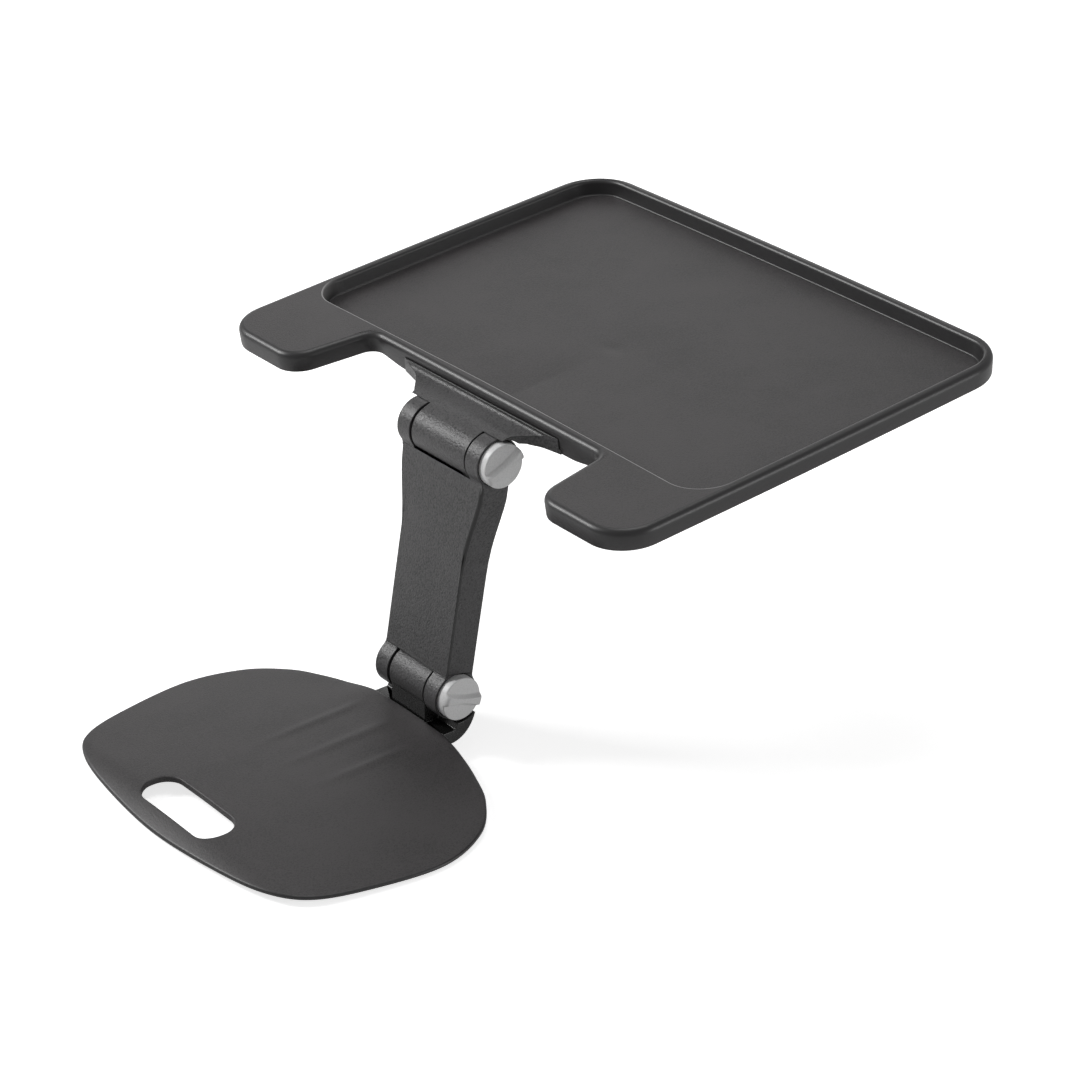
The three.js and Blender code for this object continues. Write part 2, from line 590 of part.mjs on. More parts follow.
// Seat paddle: a thin plate with a turned-down handle slot, ribs and screw bosses beneath
function makePaddle() {
  const lowered = paddlePlate(SLOT_RIM_DEPTH - 1).translate([0, 0, -1]);
  const rim = upright(slotOutline(SLOT_RIM), -REACH, REACH).intersect(lowered);
  let body = paddlePlate(PADDLE_THICK).add(rim);
  body = body.subtract(upright(slotOutline(0), -REACH, REACH));
  const ribs = new THREE.Shape();
  ribs.moveTo(RIB_FRONT, 0);
  ribs.lineTo(RIB_FRONT, paddleTop(0, RIB_FRONT) - PADDLE_THICK + 1);
  ribs.lineTo(RIB_END, paddleTop(RIB_SPACING, RIB_END) - PADDLE_THICK + 1);
  ribs.lineTo(RIB_END + 8, 0);
  ribs.closePath();
  for (const x of [-RIB_SPACING, 0, RIB_SPACING]) {
    body = body.add(sideways(ribs, x - RIB_WIDTH / 2, x + RIB_WIDTH / 2));
  }
  for (const [x, y] of bothSides(CRADLE_SCREWS)) {
    const top = paddleTop(x, y);
    const boss = post(BOSS_RADIUS, TONGUE_TOP - TONGUE_THICK + GAP, top - 1, x, y);
    body = body.add(boss).subtract(post(SCREW_HOLE, 0, top - HOLE_COVER, x, y, 12));
  }
  return piece('seat_paddle', body, blackPlastic);
}

// Seat cradle: the lower barrel, a trough round the ears and a tongue screwed under the paddle
function makeCradle() {
  const tongueTop = TONGUE_TOP - LOWER_AXIS_Z;
  const front = PADDLE_FRONT - LOWER_AXIS_Y + 2 * GAP;
  const trough = new THREE.Shape();
  trough.absarc(0, 0, CRADLE_INNER, TROUGH_TIP, TROUGH_HEEL, true);
  trough.lineTo(TROUGH_STEP, TROUGH_FLOOR);
  trough.lineTo(front, TROUGH_FLOOR);
  trough.lineTo(front, tongueTop);
  trough.lineTo(TONGUE_END - LOWER_AXIS_Y, tongueTop);
  trough.lineTo(TONGUE_END - LOWER_AXIS_Y, tongueTop - TONGUE_THICK);
  trough.lineTo(-6, tongueTop - TONGUE_THICK);
  trough.quadraticCurveTo(8, -31, 13.2, -15.4);
  trough.closePath();
  let body = sideways(trough, -CRADLE_HALF, CRADLE_HALF, 10);
  const half = LOWER_EAR_INNER - WASHER_THICK - GAP;
  const neck = new THREE.Shape();
  neck.moveTo(-BARREL_RADIUS * Math.cos(NECK_ANGLE), -BARREL_RADIUS * Math.sin(NECK_ANGLE));
  neck.lineTo(front, TROUGH_FLOOR - 1);
  neck.lineTo(NECK_BACK, TROUGH_FLOOR - 1);
  neck.lineTo(NECK_BACK, -BARREL_RADIUS / 2);
  neck.closePath();
  body = body.add(sideways(neck, -half, half));
  body = body.add(rod(BARREL_RADIUS, -half, half, ROUND_LARGE));
  body = body.subtract(rod(SLEEVE_RADIUS + GAP, -ARM_HALF_WIDTH, ARM_HALF_WIDTH, 28));
  for (const [x, y] of bothSides(CRADLE_SCREWS)) {
    body = body.subtract(post(BOSS_RADIUS + GAP, -LOWER_AXIS_Z, tongueTop + 1, x, y - LOWER_AXIS_Y));
  }
  const node = piece('seat_cradle', body, blackPlastic);
  node.position.set(0, LOWER_AXIS_Y, LOWER_AXIS_Z);
  return node;
}

// Assembly: the seat carries the arm, and the arm carries the tray
const lapDesk = new THREE.Group();
const arm = new THREE.Group();
arm.position.set(0, LOWER_AXIS_Y, LOWER_AXIS_Z);
arm.rotation.x = -ARM_LEAN;
const tray = new THREE.Group();
tray.position.set(0, 0, ARM_LENGTH);
tray.rotation.x = ARM_LEAN + TRAY_PITCH;
const lowerHinge = new THREE.Group();
const upperHinge = new THREE.Group();
upperHinge.position.copy(tray.position);
arm.add(tray, lowerHinge, upperHinge);
lapDesk.add(arm);

lapDesk.add(makePaddle(), makeCradle());
bothSides(CRADLE_SCREWS).forEach(([x, y], i) => {
  const top = paddleTop(x, y) - SCREW_COVER;
  lapDesk.add(panScrew(`cradle_screw_${i + 1}`, x, y, TONGUE_TOP - TONGUE_THICK, top));
});

arm.add(makeArmShell(), makeArmCover());
bothSides(ARM_SCREWS).forEach(([x, z], i) => arm.add(coverScrew(`arm_cover_screw_${i + 1}`, x, z)));

tray.add(makeTray(), makeBracket());
bothSides(BRACKET_SCREWS).forEach(([x, y], i) => {
  tray.add(panScrew(`bracket_screw_${i + 1}`, x, y, FLANGE_UNDER, FLOOR_TOP - SCREW_COVER));
});

lowerHinge.add(...Object.values(hingeSet('lower', LOWER_EAR_INNER, LOWER_BAR_TURN + ARM_LEAN)));
upperHinge.add(...Object.values(hingeSet('upper', UPPER_EAR_INNER, UPPER_BAR_TURN + ARM_LEAN)));

export default lapDesk;
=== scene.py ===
"""Lap desk in charcoal moulded plastic: a rimmed tray on a folding arm, held by a paddle under the sitter.

Lengths are in millimetres and are turned to metres as each mesh is made.
"""
import math

import bmesh
import bpy
import numpy as np
from mathutils import Matrix, Vector


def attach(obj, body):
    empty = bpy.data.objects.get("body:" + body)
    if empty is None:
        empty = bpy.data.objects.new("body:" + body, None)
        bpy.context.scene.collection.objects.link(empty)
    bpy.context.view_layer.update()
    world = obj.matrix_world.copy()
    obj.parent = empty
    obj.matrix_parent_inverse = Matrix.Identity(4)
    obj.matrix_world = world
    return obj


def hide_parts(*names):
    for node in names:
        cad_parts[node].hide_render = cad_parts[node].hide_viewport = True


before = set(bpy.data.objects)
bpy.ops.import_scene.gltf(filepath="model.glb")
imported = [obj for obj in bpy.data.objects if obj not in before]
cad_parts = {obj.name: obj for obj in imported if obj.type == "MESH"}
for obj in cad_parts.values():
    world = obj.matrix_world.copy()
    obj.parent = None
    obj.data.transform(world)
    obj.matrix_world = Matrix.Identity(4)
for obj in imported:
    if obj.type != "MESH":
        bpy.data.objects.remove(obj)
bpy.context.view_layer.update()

MM = 0.001

# Hinges as (y, z), the set of the arm and tray, and the bounds of their straight and hidden stretches
LOWER_AXIS = (74.0, 41.0)
ARM_LENGTH = 176.0
ARM_LEAN = math.radians(10)
TRAY_PITCH = math.radians(5.2)
UPPER_AXIS = (LOWER_AXIS[0] + ARM_LENGTH * math.sin(ARM_LEAN),
              LOWER_AXIS[1] + ARM_LENGTH * math.cos(ARM_LEAN))
UPPER_EAR_OUTER = 45.0
LOWER_EAR_OUTER = 35.0
HINGE_CLEAR = 20.0
ARM_SIDE = 34.5
ARM_HOLLOW = -8.5
RUN_OFF_HEIGHT = 17.5
RUN_OFF_HALF = 1.5
FLARE_TIP = 1.0
# Heights over which the cradle's painted shade fades out: darkest and glossiest below the first, none above the
# second
NECK_SHADE_HEIGHTS = (31.0, 47.0)

# Tray, measured from the upper hinge axis
TRAY_HALF = 221.0
TRAY_FRONT = -40.0
TRAY_FAR = 312.6
TRAY_MIDDLE = (TRAY_FRONT + TRAY_FAR) / 2
SIDE_BOW = 1.5
FAR_BOW = 2.4
FRONT_BOW = 4.0
TENT_ROUND = 0.22
TRAY_TOP = 29.2
TRAY_BOTTOM = 14.6
NOTCH_BACK = 25.2
NOTCH_HALF = 126.0
NOTCH_MOUTH = 136.0
NOTCH_CORNER = 11.0
LOBE_INNER_CORNER = 21.0
LOBE_OUTER_CORNER = 30.0
FAR_CORNER = 38.0
NOTCH_WALL_DROP = 3.6
NOTCH_WALL_END = 124.0
RIGHT_FLARE = 82.2
LEFT_FLARE = 91.2
WALL_OVERLAP = 4.0
RIM = 8.5
OUTER_ROLL = 4.7
INNER_ROLL = 3.0
FRONT_EDGE_ROLL = 1.1
RECESS_FRONT = 31.0
RECESS_CORNER = 26.0
TIGHT_ROLL_END = 36.0
FULL_ROLL_START = 62.0
FLOOR_TOP = 17.6
FLOOR_UNDER = 15.0
FLOOR_FILLET = 1.3
SINK_HALF = 60.0
SINK_FADE = 70.0
SINK_END = 140.0
SINK_DEPTH = 1.4
DIMPLE_SHARE = 0.6
DIMPLE_HALF = (10.0, 5.0)
WALL_DRAFT = 1.6
SKIRT_DRAFT = 0.6
SKIRT_WALL = 2.6
HEM_EASE = 0.3
UNDER_EASE = 0.4
FLAT_MARGIN = 0.5
ROLL_MARGIN = 0.25
BOSSES = ((66, 46), (58, 78), (34, 106))
BOSS_RADIUS = 4.0
BOSS_HOLE = 1.75
BOSS_EASE = 0.3
BOSS_SINK = 0.6
BOSS_END = 11.1

# Seat paddle, with its handle slot, ribs and the ridges where they show through
PADDLE_THICK = 3.0
PADDLE_RIM_Z = 4.1
PADDLE_CROWN_Z = 15.2
CROWN_POWER = 1.83
PADDLE_SLOPE = 0.018
PADDLE_HALF = 155.0
PADDLE_FRONT = 58.0
FRONT_RISE = 4.2
FRONT_RISE_START = 22.0
FRONT_RISE_HALF = 34.0
FRONT_RISE_FADE = 36.0
TAIL_START = -128.0
TAIL_LENGTH = 24.0
TAIL_DROP = 6.5
TAIL_END = -154.5
SLOT_HALF_LENGTH = 43.5
SLOT_HALF_WIDTH = 15.0
SLOT_CENTRE = -126.0
SLOT_ROLL = 1.2
SLOT_RIM = 2.0
SLOT_RIM_DEPTH = 4.5
SLOT_CORNER = 14.0
SLOT_EASE = 0.4
RIBS = (-35.0, 0.0, 35.0)
RIB_WIDTH = 6.0
RIB_FRONT = 20.0
RIB_END = -75.0
RIB_RUN_OUT = 9.0
RIB_SINK = 0.6
RIB_EASE = 0.4
RIDGE_HEIGHT = 0.8
RIDGE_HALF = 4.0
RIDGE_TAIL = (-60.0, 0.0)
RIDGE_HEAD = (26.0, 50.0)
CRADLE_BOSSES = ((30, 50), (18, 36))
CRADLE_BOSS_END = 7.9
CRADLE_BOSS_COVER = 1.0

# Clamp knobs
KNOB_RADIUS = 16.0
KNOB_BACK = -0.9
KNOB_FACE = 6.5
KNOB_BAR_HEIGHT = 4.0
KNOB_BAR_END = 9.0
KNOB_BAR_WAIST = 5.5
KNOB_FLANK = 2.6
KNOB_END_ROUND = 2.4
KNOB_EDGE = 0.9
UPPER_BAR_ANGLE = math.radians(27)
LOWER_BAR_ANGLE = math.radians(-17)

# Points round each loop and rows across each face
FLOOR_ROWS = 30
UNDER_ROWS = 6
OUTLINE_POINTS = 360
FACE_ROWS = 44
KNOB_POINTS = 160
KNOB_ROWS = 40
KNOB_EDGE_ROWS = 7
TUBE_SIDES = 24

# New surfaces: the gap within which points join, and the angle past which an edge is shaded sharp
POINT_GAP = 0.002
SHARP_ANGLE = 40

# Copies of solids: the same, with the angles of facets that join and of edges that are rounded
WELD_GAP = 0.15
COPY_SHARP_ANGLE = 35
FLAT_ANGLE = 1.0
EDGE_ANGLE = 32

# Spacing of the patterns. Plating and paper are drawn coarser than they are, so that they show
DRIFT_SPACING = 1000 / 14
CLOUD_SPACING = 1000 / 220
PAPER_SPACING = 1000 / 900
# Distance between the pits, in grains
PIT_SPACING = 1.6

# Painted highlight: a pale grey laid on a tight edge where light catches it
PAINTED_HIGHLIGHT_COLOUR = "#8c8b8b"

# Share of the white background that shows in shiny surfaces
GLOSSY_SHARE = 0.3
# How far the paper is lifted to white, and the soft light of the surroundings
PAPER_GLOW = 0.74
ROOM_LIGHT = 0.17


# Materials

def linear(hex_colour):
    """Linear RGBA of an sRGB hex colour."""
    value = np.array([int(hex_colour[i:i + 2], 16) for i in (1, 3, 5)]) / 255
    value = np.where(value <= 0.04045, value / 12.92, ((value + 0.055) / 1.055) ** 2.4)
    return (*value.tolist(), 1.0)


def add(tree, kind, settings=None, **links):
    """Adds a node, sets its properties and sockets, and links its named inputs to other nodes' outputs.

    The setting named stops holds a ramp's places and colours. A link named i and a number goes to that input.
    """
    node = tree.nodes.new(kind)
    for key, value in (settings or {}).items():
        if key == "stops":
            for stop, (place, colour) in zip(node.color_ramp.elements, value):
                stop.position, stop.color = place, linear(colour)
        elif isinstance(key, str) and hasattr(node, key):
            setattr(node, key, value)
        else:
            node.inputs[key].default_value = value
    for key, source in links.items():
        target = int(key[1:]) if key[0] == "i" and key[1:].isdigit() else key.replace("_", " ")
        tree.links.new(source, node.inputs[target])
    return node


def new_material(name):
    """A material with an empty node tree, and the tree."""
    material = bpy.data.materials.new(name)
    material.use_nodes = True
    tree = material.node_tree
    tree.nodes.clear()
    return material, tree


def grained_plastic(name, dark, light, polish_and_shade_colour, rough, grain_mm, depth_mm):
    """Plastic moulded in a spark-eroded tool: a pitted grain that scatters the light, with slow colour drift.

    Where a piece's polish attribute rises, the grain gives way to a deeper, glossier surface; where that
    attribute is laid on by height, the darkening is painted shade. Where its highlight attribute rises, an edge
    is painted pale as a highlight. The grain is drawn coarser than the real one to show.
    """
    material, tree = new_material(name)
    where = add(tree, "ShaderNodeTexCoord").outputs["Object"]
    drift = add(tree, "ShaderNodeTexNoise",
                {"Scale": 1 / (DRIFT_SPACING * MM), "Detail": 3.0, "Roughness": 0.6}, Vector=where)
    grain = add(tree, "ShaderNodeTexNoise",
                {"Scale": 1 / (grain_mm * MM), "Detail": 2.0, "Roughness": 0.65}, Vector=where)
    pits = add(tree, "ShaderNodeTexVoronoi", {"Scale": 1 / (PIT_SPACING * grain_mm * MM)}, Vector=where)
    mixed = add(tree, "ShaderNodeMath", {"operation": "MULTIPLY_ADD", 1: 0.35},
                i0=pits.outputs["Distance"], i2=grain.outputs["Fac"])
    speck = add(tree, "ShaderNodeMath", {"operation": "MULTIPLY_ADD", 1: 0.5},
                i0=drift.outputs["Fac"], i2=mixed.outputs[0])
    matte = add(tree, "ShaderNodeValToRGB", {"stops": ((0.7, dark), (1.0, light))}, Fac=speck.outputs[0])
    polish_and_shade = add(tree, "ShaderNodeAttribute", {"attribute_name": "polish_and_shade"})
    colour = add(tree, "ShaderNodeMix", {"data_type": "RGBA", 7: linear(polish_and_shade_colour)},
                 i0=polish_and_shade.outputs["Fac"], i6=matte.outputs[0])
    painted_highlight = add(tree, "ShaderNodeAttribute", {"attribute_name": "painted_highlight"})
    highlit = add(tree, "ShaderNodeMix", {"data_type": "RGBA", 7: linear(PAINTED_HIGHLIGHT_COLOUR)},
               i0=painted_highlight.outputs["Fac"], i6=colour.outputs[2])
    level = add(tree, "ShaderNodeMapRange", {"To Min": rough - 0.08, "To Max": rough + 0.06},
                Value=mixed.outputs[0])
    sheen = add(tree, "ShaderNodeMath", {"operation": "MULTIPLY_ADD", 1: -0.12},
                i0=polish_and_shade.outputs["Fac"], i2=level.outputs[0])
    relief = add(tree, "ShaderNodeMath", {"operation": "MULTIPLY_ADD", 1: -0.4, 2: 0.5},
                 i0=polish_and_shade.outputs["Fac"])
    bump = add(tree, "ShaderNodeBump", {"Distance": depth_mm * MM}, Strength=relief.outputs[0],
               Height=mixed.outputs[0])
    shader = add(tree, "ShaderNodeBsdfPrincipled", {"IOR": 1.53},
                 Base_Color=highlit.outputs[2], Roughness=sheen.outputs[0], Normal=bump.outputs[0])
    add(tree, "ShaderNodeOutputMaterial", None, Surface=shader.outputs[0])
    return material


def plated_steel(name, dark, light):
    """Zinc-plated steel: a bright metal whose plating is slightly cloudy."""
    material, tree = new_material(name)
    where = add(tree, "ShaderNodeTexCoord").outputs["Object"]
    cloud = add(tree, "ShaderNodeTexNoise", {"Scale": 1 / (CLOUD_SPACING * MM), "Detail": 4.0}, Vector=where)
    colour = add(tree, "ShaderNodeValToRGB", {"stops": ((0.35, dark), (0.7, light))}, Fac=cloud.outputs["Fac"])
    level = add(tree, "ShaderNodeMapRange", {"To Min": 0.24, "To Max": 0.42}, Value=cloud.outputs["Fac"])
    shader = add(tree, "ShaderNodeBsdfPrincipled", {"Metallic": 1.0},
                 Base_Color=colour.outputs[0], Roughness=level.outputs[0])
    add(tree, "ShaderNodeOutputMaterial", None, Surface=shader.outputs[0])
    return material


# ABS with a fine matte grain: an even dark grey, deeper and shinier where an edge is rolled
charcoal = grained_plastic("charcoal_abs_moulded", "#1c1a1b", "#363334", "#252425", 0.5, 0.9, 0.3)
# ABS from a coarsely grained tool: a leathery sparkle on the arm and its hinges. Its deep colour is painted
# shade, laid on the cradle's neck
coarse_charcoal = grained_plastic("charcoal_abs_coarse_grain", "#181818", "#444344", "#141414",
                                  0.38, 1.2, 0.7)
# Painted shade: the same ABS on rounded edges, smoother and coloured nearly black so that the edges show dark
edge_shade_charcoal = grained_plastic("charcoal_abs_painted_edge_shade", "#121212", "#1c1c1c", "#121212", 0.4, 0.9, 0.1)
# Pale ABS: an almost even light grey with a soft sheen
grey = grained_plastic("grey_abs_moulded", "#d8d8d8", "#e4e4e4", "#b0b0b0", 0.4, 0.8, 0.12)
# Zinc plating: bright, slightly cloudy heads
zinc = plated_steel("zinc_plated_steel", "#9fa3a6", "#c6c9cb")
# Pressed fibre: dull and brown-black, with a felted face
fibre = grained_plastic("pressed_fibre", "#221f1c", "#352f2a", "#221f1c", 0.85, 0.6, 0.2)


# Shapes

def on_tray(points):
    """Tray points, given from the upper hinge axis on a level tray, pitched and set in the object's frame."""
    turned = points @ np.array(Matrix.Rotation(TRAY_PITCH, 3, "X")).T
    return turned + (0, *UPPER_AXIS)


def rounded_path(corners, lines, arcs):
    """Points along straight runs joined by arcs: corners are (x, y, radius), of which the ends are plain.

    lines and arcs give the number of points on each run and each arc. A run may list its own fractions instead.
    """
    places = np.array([corner[:2] for corner in corners], float)
    parts, start = [], places[0]
    for i in range(1, len(places) - 1):
        back = (places[i - 1] - places[i]) / np.linalg.norm(places[i - 1] - places[i])
        ahead = (places[i + 1] - places[i]) / np.linalg.norm(places[i + 1] - places[i])
        half = np.arccos(back @ ahead) / 2
        radius = corners[i][2]
        first, last = (places[i] + side * radius / np.tan(half) for side in (back, ahead))
        middle = places[i] + (back + ahead) / np.linalg.norm(back + ahead) * radius / np.sin(half)
        a, b = first - middle, last - middle
        sweep = np.arctan2(a[0] * b[1] - a[1] * b[0], a @ b)
        turn = np.arctan2(a[1], a[0]) + np.linspace(0, sweep, arcs[i - 1], endpoint=False)
        run = lines[i - 1] if np.ndim(lines[i - 1]) else np.arange(lines[i - 1]) / lines[i - 1]
        parts.append(start + (first - start) * run[:, None])
        parts.append(middle + radius * np.stack([np.cos(turn), np.sin(turn)], 1))
        start = last
    parts.append(np.linspace(start, places[-1], lines[-1]))
    return np.concatenate(parts)


def mirrored(right):
    """A closed loop from its right half, which runs from the middle in front to the middle behind."""
    return np.concatenate([right, (right * (-1, 1))[-2:0:-1]])


def outward(loop):
    """Unit normals of a loop that runs anticlockwise: each is square to the chord of its two neighbours."""
    along = np.roll(loop, -1, 0) - np.roll(loop, 1, 0)
    along /= np.linalg.norm(along, axis=1)[:, None]
    return np.stack([along[:, 1], -along[:, 0]], 1)


def level_row(loop, offset, height):
    """A loop moved outwards by an offset and lifted to a height: one row of a surface."""
    plan = loop + outward(loop) * np.broadcast_to(offset, len(loop))[:, None]
    return np.concatenate([plan, np.broadcast_to(height, len(loop))[:, None]], 1)


def shell(name, sheets, body, nodes, material, polish_and_shade=None, painted_highlight=None):
    """A piece from one or more sheets of rows: each row joins the next, and each row's end joins its start.

    A row shrunk to a point or a line closes an end. Doubled points are merged and the faces turned outwards.
    """
    points, faces, start = [], [], 0
    for rows in sheets:
        count, width = rows.shape[:2]
        index = start + np.arange(count * width).reshape(count, width)
        right = np.roll(index, -1, 1)
        faces.append(np.stack([index[:-1], right[:-1], right[1:], index[1:]], -1).reshape(-1, 4))
        points.append(rows.reshape(-1, 3))
        start += count * width
    mesh = bpy.data.meshes.new(name)
    mesh.from_pydata(np.concatenate(points) * MM, [], np.concatenate(faces).tolist())
    for key, values in (("polish_and_shade", polish_and_shade), ("painted_highlight", painted_highlight)):
        if values is not None:
            layer = mesh.attributes.new(key, "FLOAT", "POINT")
            layer.data.foreach_set("value", np.ascontiguousarray(values, np.float32).ravel())
    finish_mesh(mesh, SHARP_ANGLE, gap=POINT_GAP)
    return show(name, mesh, body, nodes, material)


def finish_mesh(mesh, sharp, gap, joined=None):
    """Merges points within a gap, joins flat facets where asked, turns faces outwards and shades smooth."""
    work = bmesh.new()
    work.from_mesh(mesh)
    bmesh.ops.remove_doubles(work, verts=work.verts, dist=gap * MM)
    if joined is not None:
        bmesh.ops.dissolve_limit(work, angle_limit=math.radians(joined), verts=work.verts, edges=work.edges)
    bmesh.ops.recalc_face_normals(work, faces=work.faces)
    work.to_mesh(mesh)
    work.free()
    mesh.shade_smooth()
    mesh.set_sharp_from_angle(angle=math.radians(sharp))


def show(name, mesh, body, nodes, material):
    """Puts a mesh into the scene as a piece that rides on a body and stands for its nodes."""
    mesh.materials.clear()
    mesh.materials.append(material)
    piece = bpy.data.objects.new(name, mesh)
    bpy.context.scene.collection.objects.link(piece)
    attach(piece, body)
    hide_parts(*nodes)
    return piece


def softened(name, node, body, material, width, long_width=None, long_edge=None, crisp=None,
             shade_and_polish=None, clamped=False):
    """A copy of a CAD node with its crisp edges rounded and coloured nearly black as painted shade.

    One test picks out the long edges that are rounded by more than the rest, another those that stay crisp.
    The shade-and-polish function gives, by height, a painted shade that darkens the moulding and makes it
    glossier towards the bottom. A clamped rounding never overlaps itself.
    """
    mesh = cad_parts[node].data.copy()
    finish_mesh(mesh, COPY_SHARP_ANGLE, gap=WELD_GAP, joined=FLAT_ANGLE)
    if shade_and_polish is not None:
        places = np.empty(len(mesh.vertices) * 3, np.float32)
        mesh.vertices.foreach_get("co", places)
        layer = mesh.attributes.new("polish_and_shade", "FLOAT", "POINT")
        layer.data.foreach_set("value", shade_and_polish(places[2::3] / MM))
    work = bmesh.new()
    work.from_mesh(mesh)
    weight = work.edges.layers.float.new("bevel_weight_edge")
    widest = long_width or width
    for edge in work.edges:
        if len(edge.link_faces) == 2 and edge.calc_face_angle(0) > math.radians(EDGE_ANGLE):
            ends = [vert.co / MM for vert in edge.verts]
            if crisp is None or not all(map(crisp, ends)):
                longer = long_edge is not None and all(map(long_edge, ends))
                edge[weight] = 1.0 if longer else width / widest
    work.to_mesh(mesh)
    work.free()
    piece = show(name, mesh, body, [node], material)
    # Painted shade: the rounded edges take the nearly black edge material
    mesh.materials.append(edge_shade_charcoal)
    bevel = piece.modifiers.new("rounded_edges", "BEVEL")
    bevel.width = widest * MM
    bevel.segments = 4
    bevel.limit_method = "WEIGHT"
    bevel.harden_normals = True
    bevel.use_clamp_overlap = clamped
    bevel.material = 1
    return piece


def along_arm(place):
    """Depth and height of a place along the arm, from the lower hinge axis."""
    y, z = place.y - LOWER_AXIS[0], place.z - LOWER_AXIS[1]
    return y * math.cos(ARM_LEAN) - z * math.sin(ARM_LEAN), z * math.cos(ARM_LEAN) + y * math.sin(ARM_LEAN)


def arm_long_edge(place):
    """Whether a place is on the arm's straight stretch, off the hinges and on the outside."""
    return HINGE_CLEAR < along_arm(place)[1] < ARM_LENGTH - HINGE_CLEAR and abs(place.x) > ARM_SIDE


def arm_inside(place):
    """Whether a place is in the hollow of the arm or at the back of it."""
    depth, height = along_arm(place)
    return depth > ARM_HOLLOW and HINGE_CLEAR < height < ARM_LENGTH - HINGE_CLEAR


def bracket_crisp(place):
    """Whether a place is at the end of the bracket's flares or where the web runs off the barrel."""
    run_off = abs(place.y - UPPER_AXIS[0]) < RUN_OFF_HALF and place.z > UPPER_AXIS[1] + RUN_OFF_HEIGHT
    return run_off or not FLARE_TIP - LEFT_FLARE < place.x < RIGHT_FLARE - FLARE_TIP


def smooth_step(low, high, value):
    """0 below low, 1 above high, and a cubic between."""
    t = np.clip((value - low) / (high - low), 0, 1)
    return t * t * (3 - 2 * t)


def bowed(loop, front_bow):
    """Bends a tray loop: sides bulge by a parabola in y, the far edge by one in x, the front by a round tent."""
    x, y = loop.T
    depth = (y - TRAY_MIDDLE) / (TRAY_FAR - TRAY_MIDDLE)
    far = FAR_BOW * (1 - (x / TRAY_HALF) ** 2) * smooth_step(TRAY_MIDDLE, TRAY_FAR - RIM, y)
    tent = 1 - np.hypot(x / TRAY_HALF, TENT_ROUND)
    near = front_bow * tent * (1 - smooth_step(RECESS_FRONT, TRAY_MIDDLE, y))
    return np.stack([x * (1 + SIDE_BOW / TRAY_HALF * (1 - depth ** 2)), y + far + near], 1)


def floor_height(x, y):
    """Height of the tray floor: flat, less a squared tent in x that fades along y and ends in a bell.

    This is the shallow sink mark along the middle, over the bracket's bosses.
    """
    valley = np.maximum(1 - np.abs(x) / SINK_HALF, 0) ** 2 * (1 - smooth_step(SINK_FADE, SINK_END, y))
    wide, deep = DIMPLE_HALF
    dimple = DIMPLE_SHARE * np.exp(-((x / wide) ** 2 + ((y - SINK_END) / deep) ** 2))
    return FLOOR_TOP - SINK_DEPTH * (valley + dimple)


def tube(centre, low, high, side):
    """A screw boss: a rectangle of radius and height with an eased corner, turned about an upright axis."""
    profile = ((BOSS_HOLE, low), (BOSS_RADIUS - BOSS_EASE, low), (BOSS_RADIUS, low + BOSS_EASE),
               (BOSS_RADIUS, high), (BOSS_HOLE, high), (BOSS_HOLE, low))
    turn = np.linspace(0, 2 * np.pi, TUBE_SIDES, endpoint=False)
    ring = np.stack([np.cos(turn), np.sin(turn)], 1)
    middle = (side * centre[0], centre[1])
    return np.array([np.c_[ring * r + middle, np.full(TUBE_SIDES, z)] for r, z in profile])


